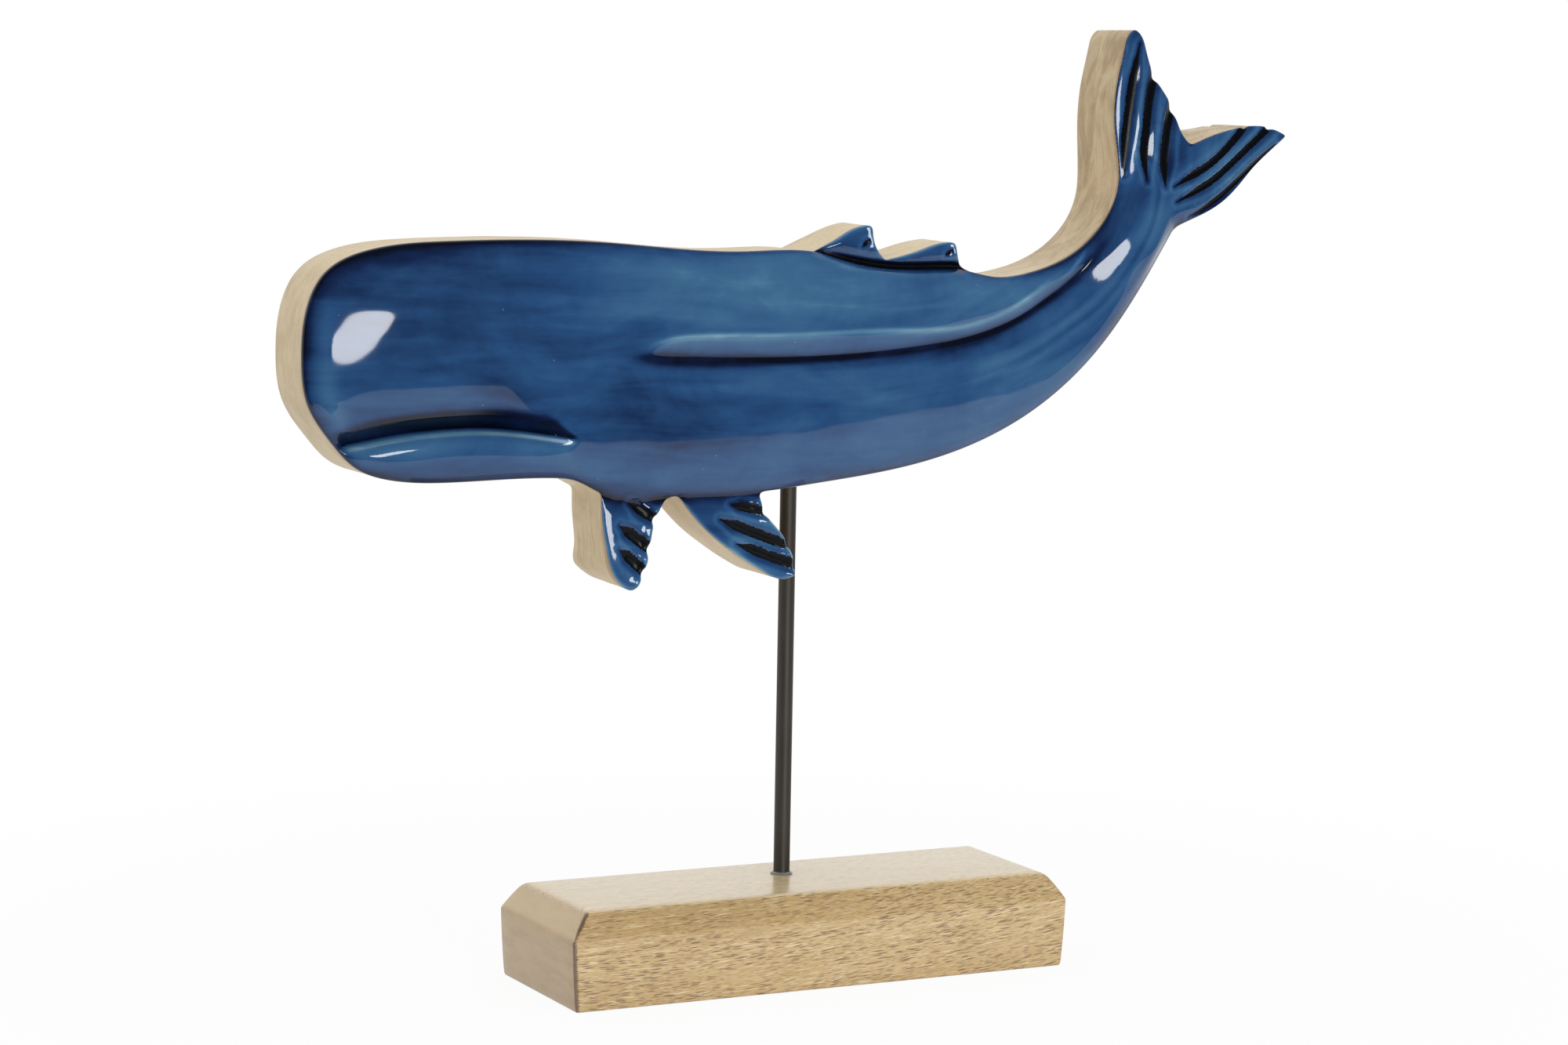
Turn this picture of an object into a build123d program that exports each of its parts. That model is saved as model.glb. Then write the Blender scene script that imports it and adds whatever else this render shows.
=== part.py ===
from build123d import *
import os
import numpy as np

# Block
base_length = 200
base_depth = 66
base_height = 35
base_corner = 1.2
base_foot_chamfer = 0.8
band_drop = 8
band_lean_end = 7
band_lean_side = 5

# Rod
rod_diameter = 6
rod_clearance = 0.05
rod_end_chamfer = 0.5
rod_offset_x = 0.8
rod_offset_y = 6
rod_seat = 25
rod_socket = 30
ride_height = 145.6
bead_width = 1.3
bead_height = 1.0

# Whale
whale_length = 396
whale_thickness = 28
enamel_thickness = 1.2
line_recess = 0.6
body_crown = 6.5
body_roll = 17
pectoral_crown = 2.2
pectoral_roll = 8
dorsal_crown = 1.2
dorsal_roll = 6
relief_step_x = 12
relief_step_z = 8
relief_margin = 9
relief_tolerance = 0.001

# Mouth and flank: valley depth and reach to each side
mouth_depth = 2.2
mouth_reach = 7
flank_depth = 2.4
flank_reach = 9

# Black lines
fluke_line_width = 2.8
fin_line_width = 3.0
dorsal_line_width = 2.4

belly_z = base_height + ride_height
rod_radius = rod_diameter / 2
bore_radius = rod_radius + rod_clearance
front_y = rod_offset_y - whale_thickness / 2
carve_start = front_y - 2 * body_crown

# Whale outline, drawn side on with the rod's entry at the origin: nose to the left, tail to the right.
drawn_length = 396
upper_lobe_edge = [(133.7, 166.2), (139.2, 158.4), (143.2, 148.9), (151.2, 137.9), (156.2, 127.6), (160.2, 123.1)]
lower_lobe_top = [(160.2, 123.1), (169.2, 126.7), (181.2, 129.9), (194.2, 130.4), (203, 127.2)]
lower_lobe_edge = [(203, 127.2), (189.2, 115.4), (174.2, 101.6), (159.2, 94.6), (153.7, 92.4)]
contour = [
    (133.7, 166.2), (128.2, 150.5), (126.6, 131), (128.8, 107.5), (122.8, 94.6), (109.2, 82.6), (91.2, 76),
    (77.2, 74.6), (63.2, 77.2), (39.2, 78.3), (19.2, 80.6), (2.2, 84.3), (-25.8, 84.6), (-80.8, 88.1), (-140.8, 88.8),
    (-166.8, 86.4), (-185.3, 77.7), (-191.4, 65.5), (-193, 48.5), (-190.8, 33.4), (-182.8, 20.9), (-172.8, 10.9),
    (-160.8, 6.7), (-140.8, 5.2), (-100.8, 5.6), (-90.8, 4.2), (-80.8, -0.6), (-50.8, -2.4), (-20.8, -2), (0, 0),
    (49.2, 7.2), (89.2, 21.9), (119.2, 44.4), (139.2, 69.4), (153.7, 92.4),
]
front_dorsal = [(2.2, 84.6), (11.2, 88.9), (22.4, 93.9), (24.8, 92.7), (26, 86.9), (30.2, 81)]
rear_dorsal = [(30.2, 81), (44.2, 84), (57, 87.6), (59.2, 86.7), (60.5, 81.7), (64.2, 77.2)]
front_pectoral = [
    (-80.8, 0), (-80.6, -10.6), (-79, -21.6), (-75.4, -31.4), (-69.6, -35.1), (-66, -31), (-62.8, -20.6),
    (-60.6, -10.6), (-55.3, -2.2),
]
rear_pectoral_lead = [(-50.8, -2.2), (-43.8, -11.1), (-33.8, -20.1), (-17.8, -30.6), (-8.8, -33.6), (-4.6, -32)]
rear_pectoral_trail = [(-4.6, -32), (-6.2, -25.6), (-11, -16.6), (-16.8, -9.6), (-19.4, -2.2)]
root_overlap = 8

# Centre lines of the carved lines, each from its pointed inner end to its wide end at the edge.
upper_lobe_lines = [
    [(131, 112), (131.2, 130), (135.2, 161)],
    [(139.2, 111), (139.2, 130), (143.6, 152)],
    [(147.7, 109.5), (149, 129), (153, 140)],
]
lower_lobe_lines = [
    [(151.5, 108), (169, 116.4), (186, 131)],
    [(152, 102.2), (169, 109.9), (197, 131)],
    [(159, 97.4), (179, 109.4), (190.5, 119.5)],
]
pectoral_lines = [
    [(-69.5, -4.2), (-65, -6.5), (-59, -10.4)],
    [(-74, -12), (-69, -16), (-62, -21.4)],
    [(-74, -20.5), (-70, -24), (-64.5, -29.4)],
    [(-30, -6), (-24.5, -7), (-17, -8.4)],
    [(-34.5, -11.5), (-24, -16), (-9, -21.5)],
    [(-28, -20.5), (-18, -24.5), (-4, -29.5)],
]
dorsal_line_path = [(3.5, 84.2), (12, 82), (24.2, 79.4), (39.2, 78.1), (54.2, 78.2), (61.5, 78.8)]
mouth_line = [(-184, 17), (-170.8, 22), (-150.8, 26.2), (-130.8, 26.2), (-110.8, 24), (-92.8, 20.5)]
flank_line = [
    (-68.8, 48.2), (-40.8, 47.4), (0, 46.2), (39.2, 48), (69.2, 53.2), (94.2, 64.2), (112.2, 76), (126.2, 94.5),
]

whale_scale = whale_length / drawn_length


def placed(point):
    return (rod_offset_x + whale_scale * point[0], belly_z + whale_scale * point[1])


def curve(points):
    return Spline([placed(p) for p in points])


def body_outline():
    stretches = [contour, upper_lobe_edge, lower_lobe_top, lower_lobe_edge]
    return make_face([curve(stretch) for stretch in stretches]).face()


def fin_outline(stretches, toward):
    first = placed(stretches[0][0])
    last = placed(stretches[-1][-1])
    inset = root_overlap * whale_scale * toward
    edges = [curve(stretch) for stretch in stretches]
    edges.append(Polyline(last, (last[0], last[1] + inset), (first[0], first[1] + inset), first))
    return make_face(edges).face()


def line_outline(path, width):
    centre = curve(path)
    sides = []
    for sign in (1, -1):
        side = [centre @ 0]
        for share, part in ((0.35, 0.8), (0.7, 1), (1, 0.9)):
            along = centre % share
            across = Vector(-along.Y, along.X) * (sign * part * width / 2)
            side.append(centre @ share + across)
        sides.append(Spline(side))
    return make_face([sides[0], Line(sides[0] @ 1, sides[1] @ 1), sides[1]]).face()


def upright(face):
    return Plane.XZ * face


def prism(face, y_start, y_end):
    return extrude(Pos(0, y_start, 0) * upright(face), amount=y_end - y_start, dir=(0, 1, 0))


def depth_inside(face, xs, zs, samples=500):
    wire = face.outer_wire()
    loop = np.array([tuple(wire @ (i / samples))[:2] for i in range(samples)])
    ahead = np.roll(loop, -1, axis=0)
    step = ahead - loop
    gx, gz = np.meshgrid(xs, zs, indexing="ij")
    dx = gx[..., None] - loop[:, 0]
    dz = gz[..., None] - loop[:, 1]
    t = (dx * step[:, 0] + dz * step[:, 1]) / (step ** 2).sum(axis=1)
    t = np.clip(t, 0, 1)
    gap = np.hypot(dx - t * step[:, 0], dz - t * step[:, 1]).min(axis=-1)
    crosses = (loop[:, 1] > gz[..., None]) != (ahead[:, 1] > gz[..., None])
    reach = loop[:, 0] + (gz[..., None] - loop[:, 1]) * step[:, 0] / np.where(step[:, 1] == 0, 1e-9, step[:, 1])
    inside = (crosses & (gx[..., None] < reach)).sum(axis=-1) % 2 == 1
    return np.where(inside, gap, -gap)


def pillow(depth, crown, roll):
    rise = crown * np.sin(np.pi / 2 * np.clip(depth / roll, 0, 1))
    return rise + np.minimum(depth, 0) * crown / roll


def valley(path, xs, zs, depth, reach):
    line = curve(path)
    spots = np.array([tuple(line @ (i / 80))[:2] for i in range(81)])
    gx, gz = np.meshgrid(xs, zs, indexing="ij")
    gap = np.hypot(gx[..., None] - spots[:, 0], gz[..., None] - spots[:, 1]).min(axis=-1)
    return depth * np.exp(-(gap / reach) ** 2 * 2)


def stations(low, high, step):
    return np.linspace(low - relief_margin, high + relief_margin, round((high - low) / step) + 2)


def relief_face(body, dorsals, pectorals):
    box = body.bounding_box()
    low = min(face.bounding_box().min.Y for face in pectorals)
    xs = stations(box.min.X, box.max.X, relief_step_x)
    zs = stations(low, box.max.Y, relief_step_z)
    height = pillow(depth_inside(body, xs, zs), body_crown, body_roll)
    height -= valley(mouth_line, xs, zs, mouth_depth, mouth_reach)
    height -= valley(flank_line, xs, zs, flank_depth, flank_reach)
    for face in dorsals:
        height = np.maximum(height, pillow(depth_inside(face, xs, zs), dorsal_crown, dorsal_roll))
    for face in pectorals:
        height = np.maximum(height, pillow(depth_inside(face, xs, zs), pectoral_crown, pectoral_roll))
    grid = [[Vector(x, front_y - height[i, j], z) for j, z in enumerate(zs)] for i, x in enumerate(xs)]
    share_x = np.linspace(0, 1, len(xs))
    share_z = np.linspace(0, 1, len(zs))
    risers = [Edge.make_spline(row, parameters=share_z) for row in grid]
    runners = [Edge.make_spline(row, parameters=share_x) for row in zip(*grid)]
    return Face.make_gordon_surface(risers, runners, tolerance=relief_tolerance)


def make_base():
    wall = Pos(0, 0, 0) * RectangleRounded(base_length, base_depth, base_corner)
    straight = extrude(wall, base_height - band_drop)
    foot_edges = straight.faces().sort_by(Axis.Z)[0].edges()
    straight = chamfer(foot_edges, base_foot_chamfer)
    top = RectangleRounded(base_length - 2 * band_lean_end, base_depth - 2 * band_lean_side, base_corner)
    band = loft([Pos(0, 0, base_height - band_drop) * wall, Pos(0, 0, base_height) * top], ruled=True)
    seat = Pos(rod_offset_x, rod_offset_y, base_height - rod_seat) * Cylinder(
        bore_radius, rod_seat * 2, align=(Align.CENTER, Align.CENTER, Align.MIN)
    )
    return straight + band - seat


def make_rod():
    length = rod_seat + ride_height + rod_socket
    rod = Cylinder(rod_radius, length, align=(Align.CENTER, Align.CENTER, Align.MIN))
    rod = chamfer(rod.edges().filter_by(GeomType.CIRCLE), rod_end_chamfer)
    return Pos(rod_offset_x, rod_offset_y, base_height - rod_seat) * rod


def make_bead():
    inner = rod_radius
    outer = rod_radius + bead_width
    profile = make_face([
        Line((inner, 0), (outer, 0)),
        EllipticalCenterArc((inner, 0), bead_width, bead_height, start_angle=0, arc_size=90),
        Line((inner, bead_height), (inner, 0)),
    ])
    return Pos(rod_offset_x, rod_offset_y, base_height) * revolve(Plane.XZ * profile, Axis.Z)


def make_lines(paths, width, board, front):
    bed = extrude(Pos(0, line_recess, 0) * front, amount=enamel_thickness - line_recess, dir=(0, 1, 0))
    cutters = [prism(line_outline(path, width), carve_start, front_y + enamel_thickness) for path in paths]
    fills = [solid for cutter in cutters for solid in (cutter & board & bed).solids()]
    return cutters, fills


def make_whale():
    body = body_outline()
    dorsals = [fin_outline([front_dorsal], -1), fin_outline([rear_dorsal], -1)]
    pectorals = [fin_outline([front_pectoral], 1), fin_outline([rear_pectoral_lead, rear_pectoral_trail], 1)]
    front = relief_face(body, dorsals, pectorals)
    board = prism((body + dorsals + pectorals).face(), carve_start, front_y + whale_thickness)
    skin = extrude(front, amount=enamel_thickness, dir=(0, 1, 0))
    core = extrude(Pos(0, enamel_thickness, 0) * front, amount=2 * whale_thickness, dir=(0, 1, 0))
    socket = Pos(rod_offset_x, rod_offset_y, belly_z + rod_socket) * Cylinder(
        bore_radius, rod_socket * 2, align=(Align.CENTER, Align.CENTER, Align.MAX)
    )
    fluke_cutters, fluke_lines = make_lines(upper_lobe_lines + lower_lobe_lines, fluke_line_width, board, front)
    fin_cutters, fin_lines = make_lines(pectoral_lines, fin_line_width, board, front)
    dorsal_cutters, dorsal_lines = make_lines([dorsal_line_path], dorsal_line_width, board, front)
    return {
        "whale_body": (board & core) - socket,
        "blue_enamel": (board & skin) - fluke_cutters - fin_cutters - dorsal_cutters,
        "fluke_lines": Compound(children=fluke_lines),
        "pectoral_fin_lines": Compound(children=fin_lines),
        "dorsal_line": Compound(children=dorsal_lines),
    }


pieces = {"base_block": make_base(), "support_rod": make_rod(), "rod_foot_bead": make_bead()}
pieces.update(make_whale())
os.makedirs("parts", exist_ok=True)
for name, shape in pieces.items():
    export_step(shape, f"parts/{name}.step")
    print(name, round(shape.volume, 1), len(shape.solids()))
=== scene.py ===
import math
import bmesh
import bpy
import numpy as np
from mathutils import Matrix, Vector, noise
from mathutils.geometry import delaunay_2d_cdt


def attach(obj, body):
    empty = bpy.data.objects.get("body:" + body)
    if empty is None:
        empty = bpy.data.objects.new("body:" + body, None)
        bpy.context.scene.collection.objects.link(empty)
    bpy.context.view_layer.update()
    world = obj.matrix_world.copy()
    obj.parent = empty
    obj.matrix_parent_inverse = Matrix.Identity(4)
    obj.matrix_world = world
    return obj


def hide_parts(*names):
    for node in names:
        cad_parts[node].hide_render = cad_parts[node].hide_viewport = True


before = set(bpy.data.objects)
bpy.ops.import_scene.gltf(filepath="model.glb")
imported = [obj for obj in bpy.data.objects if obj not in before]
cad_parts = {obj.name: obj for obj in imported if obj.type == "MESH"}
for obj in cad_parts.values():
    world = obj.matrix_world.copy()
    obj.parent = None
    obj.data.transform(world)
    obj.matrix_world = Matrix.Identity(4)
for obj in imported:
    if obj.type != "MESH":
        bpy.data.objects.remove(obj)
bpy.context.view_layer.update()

mm = 0.001
scene = bpy.context.scene
scene.view_settings.view_transform = "Standard"


# shader helpers

class Wire:
    # a shader socket that can stand in plain arithmetic
    def __init__(self, maker, socket):
        self.maker = maker
        self.socket = socket

    def math(self, operation, *values):
        return self.maker.add("ShaderNodeMath", {"operation": operation}, dict(enumerate(values)))

    def __add__(self, other):
        return self.math("ADD", self, other)

    def __radd__(self, other):
        return self.math("ADD", other, self)

    def __sub__(self, other):
        return self.math("SUBTRACT", self, other)

    def __rsub__(self, other):
        return self.math("SUBTRACT", other, self)

    def __mul__(self, other):
        return self.math("MULTIPLY", self, other)

    def __rmul__(self, other):
        return self.math("MULTIPLY", other, self)

    def __truediv__(self, other):
        return self.math("DIVIDE", self, other)

    def high(self, other):
        return self.math("MAXIMUM", self, other)

    def size(self):
        return self.math("ABSOLUTE", self)

    def step(self, start, end):
        return self.maker.add("ShaderNodeMapRange", {"interpolation_type": "SMOOTHSTEP"},
                              {"Value": self, "From Min": start, "From Max": end})


class Maker:
    # builds a material, or fills a node tree that is there already
    def __init__(self, name, tree=None):
        if tree is None:
            self.material = bpy.data.materials.new(name)
            self.material.use_nodes = True
            tree = self.material.node_tree
            self.shader = tree.nodes["Principled BSDF"]
        self.tree = tree

    def add(self, kind, settings=None, sockets=None, out=0):
        node = self.tree.nodes.new(kind)
        for key, value in (settings or {}).items():
            if key == "stops":
                ramp = node.color_ramp
                while len(ramp.elements) < len(value):
                    ramp.elements.new(0.5)
                for element, (place, colour) in zip(ramp.elements, value):
                    element.position = place
                    element.color = colour
            else:
                setattr(node, key, value)
        self.fill(node, sockets or {})
        return Wire(self, node.outputs[out])

    def fill(self, node, sockets):
        for key, value in sockets.items():
            if isinstance(value, Wire):
                self.tree.links.new(value.socket, node.inputs[key])
            else:
                node.inputs[key].default_value = value

    def finish(self, **sockets):
        self.fill(self.shader, {key.replace("_", " "): value for key, value in sockets.items()})
        return self.material

    # shorthands for the nodes that come back most
    def place(self, stretch=(1000, 1000, 1000), turn=(0, 0, 0), move=(0, 0, 0)):
        spot = self.add("ShaderNodeTexCoord", out="Object")
        return self.add("ShaderNodeMapping", {}, {"Vector": spot, "Location": move, "Rotation": turn, "Scale": stretch})

    def clouds(self, at, scale=1.0, detail=3.0, rough=0.5, warp=0.0):
        return self.add("ShaderNodeTexNoise", {}, {"Vector": at, "Scale": scale, "Detail": detail, "Roughness": rough,
                                                   "Distortion": warp})

    def mix(self, share, first, second, blend="MIX"):
        node = self.tree.nodes.new("ShaderNodeMix")
        node.data_type = "RGBA"
        node.blend_type = blend
        self.fill(node, {0: share, 6: first, 7: second})
        return Wire(self, node.outputs[2])

    def split(self, vector):
        node = self.add("ShaderNodeSeparateXYZ", {}, {0: vector}).socket.node
        return [Wire(self, socket) for socket in node.outputs]

    def ray(self, kind):
        return self.add("ShaderNodeLightPath", out=kind)

    def attribute(self, name):
        return self.add("ShaderNodeAttribute", {"attribute_name": name}, out="Fac")


def tint(r, g, b):
    # 0 to 255 screen colour to a linear colour with alpha
    values = [c / 255 for c in (r, g, b)]
    return tuple(c / 12.92 if c <= 0.04045 else ((c + 0.055) / 1.055) ** 2.4 for c in values) + (1,)


# outline helpers, all in millimetres as (x, z) rows

def smoothLine(points, step):
    # natural cubic spline through the points, read off at an even step
    p = np.array(points, float)
    t = np.concatenate([[0], np.cumsum(np.hypot(*np.diff(p, axis=0).T))])
    n = len(p)
    h = np.diff(t)
    a = np.zeros((n, n))
    b = np.zeros((n, 2))
    a[0, 0] = a[-1, -1] = 1
    for i in range(1, n - 1):
        a[i, i - 1:i + 2] = h[i - 1], 2 * (h[i - 1] + h[i]), h[i]
        b[i] = 6 * ((p[i + 1] - p[i]) / h[i] - (p[i] - p[i - 1]) / h[i - 1])
    m = np.linalg.solve(a, b)

    def read(u):
        k = np.clip(np.searchsorted(t, u, side="right") - 1, 0, n - 2)
        hk = h[k][:, None]
        left = (t[k + 1] - u)[:, None]
        right = (u - t[k])[:, None]
        return (m[k] * left ** 3 + m[k + 1] * right ** 3) / (6 * hk) + (p[k] / hk - m[k] * hk / 6) * left \
            + (p[k + 1] / hk - m[k + 1] * hk / 6) * right

    fine = read(np.linspace(0, t[-1], 40 * n))
    run = np.concatenate([[0], np.cumsum(np.hypot(*np.diff(fine, axis=0).T))])
    even = np.linspace(0, run[-1], max(2, int(round(run[-1] / step)) + 1))
    return np.stack([np.interp(even, run, fine[:, 0]), np.interp(even, run, fine[:, 1])], axis=1)


def nearest(line, point):
    return int(np.argmin(np.hypot(*(line - np.array(point)).T)))


def lineField(line, x, z):
    # signed distance to an open line (positive on its left) and how far along the nearest spot is
    ends = line[1:] - line[:-1]
    size2 = (ends ** 2).sum(axis=1)
    run = np.concatenate([[0], np.cumsum(np.sqrt(size2))])
    away = np.empty(len(x))
    along = np.empty(len(x))
    for lo in range(0, len(x), 4000):
        dx = x[lo:lo + 4000, None] - line[:-1, 0]
        dz = z[lo:lo + 4000, None] - line[:-1, 1]
        t = np.clip((dx * ends[:, 0] + dz * ends[:, 1]) / size2, 0, 1)
        gap = np.hypot(dx - t * ends[:, 0], dz - t * ends[:, 1])
        k = gap.argmin(axis=1)
        row = np.arange(len(k))
        side = np.sign(ends[k, 0] * dz[row, k] - ends[k, 1] * dx[row, k])
        away[lo:lo + 4000] = gap[row, k] * np.where(side == 0, 1, side)
        along[lo:lo + 4000] = run[k] + t[row, k] * np.sqrt(size2[k])
    return away, along, run[-1]


def depthInside(loop, x, z):
    # distance to a closed loop, positive inside
    closed = np.vstack([loop, loop[:1]])
    gap, _, _ = lineField(closed, x, z)
    inside = np.zeros(len(x), bool)
    for lo in range(0, len(x), 4000):
        zz = z[lo:lo + 4000, None]
        a, b = closed[:-1], closed[1:]
        cross = (a[:, 1] > zz) != (b[:, 1] > zz)
        rise = np.where(b[:, 1] == a[:, 1], 1e-9, b[:, 1] - a[:, 1])
        reach = a[:, 0] + (zz - a[:, 1]) * (b[:, 0] - a[:, 0]) / rise
        inside[lo:lo + 4000] = (cross & (x[lo:lo + 4000, None] < reach)).sum(axis=1) % 2 == 1
    return np.where(inside, np.abs(gap), -np.abs(gap))


def smooth(value, start, end):
    t = np.clip((value - start) / (end - start), 0, 1)
    return t * t * (3 - 2 * t)


def makeMesh(name, verts, faces, crease=1.0):
    mesh = bpy.data.meshes.new(name)
    mesh.from_pydata(verts, [], faces)
    mesh.validate()
    mesh.polygons.foreach_set("use_smooth", [True] * len(mesh.polygons))
    mesh.set_sharp_from_angle(angle=crease)
    piece = bpy.data.objects.new(name, mesh)
    scene.collection.objects.link(piece)
    return piece


def turnOutward(piece):
    bm = bmesh.new()
    bm.from_mesh(piece.data)
    bmesh.ops.recalc_face_normals(bm, faces=bm.faces)
    bm.to_mesh(piece.data)
    bm.free()


def wear(piece, material, body, slotName, *nodes):
    piece.data.materials.clear()
    piece.data.materials.append(material)
    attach(piece, body)
    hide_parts(*nodes)


# whale outline

outline = {
    "step": 0.8,
    "frontY": -8.0,
    "backY": 20.0,
    "contour": [(134.9, 346.8), (132.6, 344.6), (130.9, 339.4), (129, 331.1), (127.4, 311.6), (129.6, 288.1), (123.6, 275.2),
                (110, 263.2), (92, 256.6), (78, 255.2), (64, 257.8), (40, 258.9), (20, 261.2), (3, 264.9), (-25, 265.2),
                (-80, 268.7), (-140, 269.4), (-166, 267), (-184.5, 258.3), (-190.6, 246.1), (-192.2, 229.1),
                (-190, 214), (-182, 201.5), (-172, 191.5),
                (-160, 187.3), (-140, 185.8), (-100, 186.2), (-90, 184.8), (-80, 180), (-50, 178.2), (-20, 178.6),
                (0.8, 180.6), (50, 187.8), (90, 202.5), (120, 225), (140, 250), (154.5, 273)],
    "upperLobe": [(134.9, 346.8), (137, 345.4), (140, 339.4), (144, 329.5), (152, 318.5), (157, 308.2), (161, 303.7)],
    "lowerLobeTop": [(161, 303.7), (170, 307.3), (182, 310.5), (195, 311), (203.8, 307.8)],
    "lowerLobeEdge": [(203.8, 307.8), (190, 296), (175, 282.2), (160, 275.2), (154.5, 273)],
    "frontDorsal": [(3, 265.2), (12, 269.6), (22.6, 274.2), (25.2, 274), (26, 271), (27.6, 265.6), (31.5, 261.6)],
    "rearDorsal": [(31.5, 261.6), (45, 264.8), (57, 268), (59.8, 267.6), (60.6, 265), (61.8, 261.2), (65, 257.8)],
    "frontFin": [(-80, 180.6), (-79.8, 170), (-78.2, 159), (-74.6, 149.2), (-68.8, 145.5), (-65.2, 149.6), (-62, 160),
                 (-59.8, 170), (-54.5, 178.4)],
    "rearFinLead": [(-50, 178.4), (-43, 169.5), (-33, 160.5), (-17, 150), (-8, 147), (-3.8, 148.6)],
    "rearFinTrail": [(-3.8, 148.6), (-5.4, 155), (-10.2, 164), (-16, 171), (-18.6, 178.4)],
}

# places where the sawn wall leans, as x, z, reach, and how far the back edge is moved in x and z
lean = [(24, 272, 10, 4.0, 0), (58, 266, 8, 3.6, 0), (129, 293, 15, -2.3, 0), (166, 306, 8, 0, 2.2), (-77, 151, 7, -2.6, 1.2),
        (-73.5, 147, 4.5, -2.0, 1.9)]

# corners that are rounded one by one, as x, z, and how often they are eased
eased = [(134.9, 346.8, 2), (161, 303.7, 8), (154.5, 273, 10), (203.8, 307.8, 3), (-54.5, 178.4, 8), (-50, 178.4, 8),
         (-18.6, 178.4, 8), (-80, 180.6, 6), (-3.8, 148.6, 4), (31.5, 261.6, 3), (65, 257.8, 4)]

# carved lines: centre points from the pointed inner end outwards, full width, depth, and whether it runs out at the edge
carved = {
    "fluke_lines": [
        ([(131.6, 292.6), (131.8, 301), (132.6, 312), (134, 324), (136.9, 341.5)], 3.4, 0.85, False),
        ([(140.2, 290.6), (139.8, 300), (140.5, 312), (142.2, 322), (144.8, 331)], 3.8, 0.9, True),
        ([(148.2, 288.6), (148.9, 300), (150.2, 310), (153.4, 319.5)], 4.2, 1.3, True),
        ([(152.2, 288.4), (160, 291.8), (169, 296.4), (176.5, 302.2), (186.5, 312)], 3.0, 1.4, True),
        ([(152.8, 282.6), (161, 285.8), (171, 290.8), (181, 298.4), (198, 312)], 2.8, 1.4, True),
        ([(160, 277.2), (169.6, 281.5), (179.8, 288.6), (193, 299.8), (198.6, 304.6)], 2.2, 1.1, False),
    ],
    "pectoral_fin_lines": [
        ([(-69.4, 176.2), (-65.2, 173.2), (-58.4, 169.4)], 3.4, 1.4, True),
        ([(-73.4, 168.4), (-68.8, 164.5), (-60.8, 158.6)], 3.9, 1.5, True),
        ([(-73.6, 160), (-69.6, 156.2), (-63.6, 150.4)], 3.7, 1.4, True),
        ([(-29.6, 174.4), (-24, 173), (-16, 171.2)], 3.2, 1.3, True),
        ([(-34, 169.4), (-24, 165), (-8, 159)], 3.6, 1.5, True),
        ([(-27.6, 160.4), (-17, 156), (-2.6, 151)], 3.6, 1.4, True),
    ],
    "dorsal_line": [
        ([(3.6, 264.9), (12, 262.9), (24, 260.4), (36, 259.1), (48, 258.9), (58, 259.1), (63.6, 258.9)], 2.4, 1.3, True),
        ([(21.6, 266.6), (23, 267.8), (24.6, 269.2)], 1.3, 0.4, False),
        ([(56, 263.2), (57.4, 264.2), (59, 265.2)], 1.3, 0.4, False),
    ],
}

relief = {
    "domeRadius": 36.0, "domeSlope": 0.29, "domeGrid": 2.0, "belly": 180.4,
    "edgeCrown": 2.3, "edgeRoll": 7.0, "power": 2.2, "lip": 0.5, "lipWidth": 0.8,
    "flukeCrown": 0.35, "flukeRoll": 2.4,
    "finCrown": 0.75, "finRoll": 5.0, "finOut": 0.07, "finBead": (0.85, 1.2, 1.8), "shingle": (0.3, 0.9),
    "dorsalCrown": 1.5, "dorsalRoll": 2.0, "dorsalOut": -0.08, "dorsalBead": (0.46, 0.8, 1.1),
    # swells that turn the front towards the lamp, as x, z, turn, length, width and rise
    "hills": [(-194.5, 225.5, 28.7, 35.1, 17.2, 1.56), (-158.1, 248.1, 86.4, 9, 11.6, 0.76), (-187, 199, 0, 13, 13, 2.3),
              (132.1, 274.6, 69.3, 18.2, 39.6, 4), (125.1, 241.7, 58.8, 30.7, 7, 1.25),
              (138.6, 311, 88, 9, 3.2, 0.9), (146.8, 309, 84, 9, 3.0, 0.8)],
    # lighter and darker patches of the blue, as x, z, how far they reach in x and z, and by how much; the last one is
    # painted shade that dims the floor's reflection on the upper jaw
    "patches": [(-65, 211, 38, 15, -0.1), (-35, 219, 26, 6, 0.13), (142, 274, 12, 9, 0.16), (153, 297, 9, 9, -0.05),
                (174, 298, 12, 10, 0.2), (-22, 161, 10, 8, 0.16), (-66, 162, 8, 10, 0.1), (-150, 207, 25, 6, -0.07)],
    "grid": 1.15, "fineGrid": 0.5, "backGrid": 3.5,
    "mouth": [(-185, 196.4), (-179.6, 198.4), (-169, 200.9), (-158.8, 202.7), (-149.7, 203.7), (-138.2, 204.4),
              (-126.7, 204.4), (-115, 203.5), (-103.3, 201.9), (-91.5, 200)],
    "mouthReach": 28.0, "wall": 6.4, "wallDepth": 2.8,
    "flank": [(-78, 229.2), (-66, 228.8), (-50, 228), (-25, 227.2), (0, 227.3), (22, 228.2), (42, 230), (57.4, 232),
              (70.6, 234.7), (86.8, 240.2), (98.5, 246.6), (108.5, 253.4), (116, 261), (120.5, 268), (124.4, 275),
              (128.6, 282), (131.6, 290)],
    "flankDepth": 3.1,
    "flow": [(-205, 231), (-130, 231), (-68, 229), (-25, 227.3), (22, 227.3), (62, 232), (98, 246.6), (122, 265),
             (134, 288), (139, 320), (140, 350)],
}

step = outline["step"]
line = {key: smoothLine(value, step) for key, value in outline.items() if isinstance(value, list)}
contour = line["contour"]
bodyLoop = np.vstack([contour, line["lowerLobeEdge"][::-1][1:], line["lowerLobeTop"][::-1][1:],
                      line["upperLobe"][::-1][1:-1]])


def cut(start, end):
    # stretch of the contour between two points, ends left out
    return contour[nearest(contour, start) + 1:nearest(contour, end)]


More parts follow.
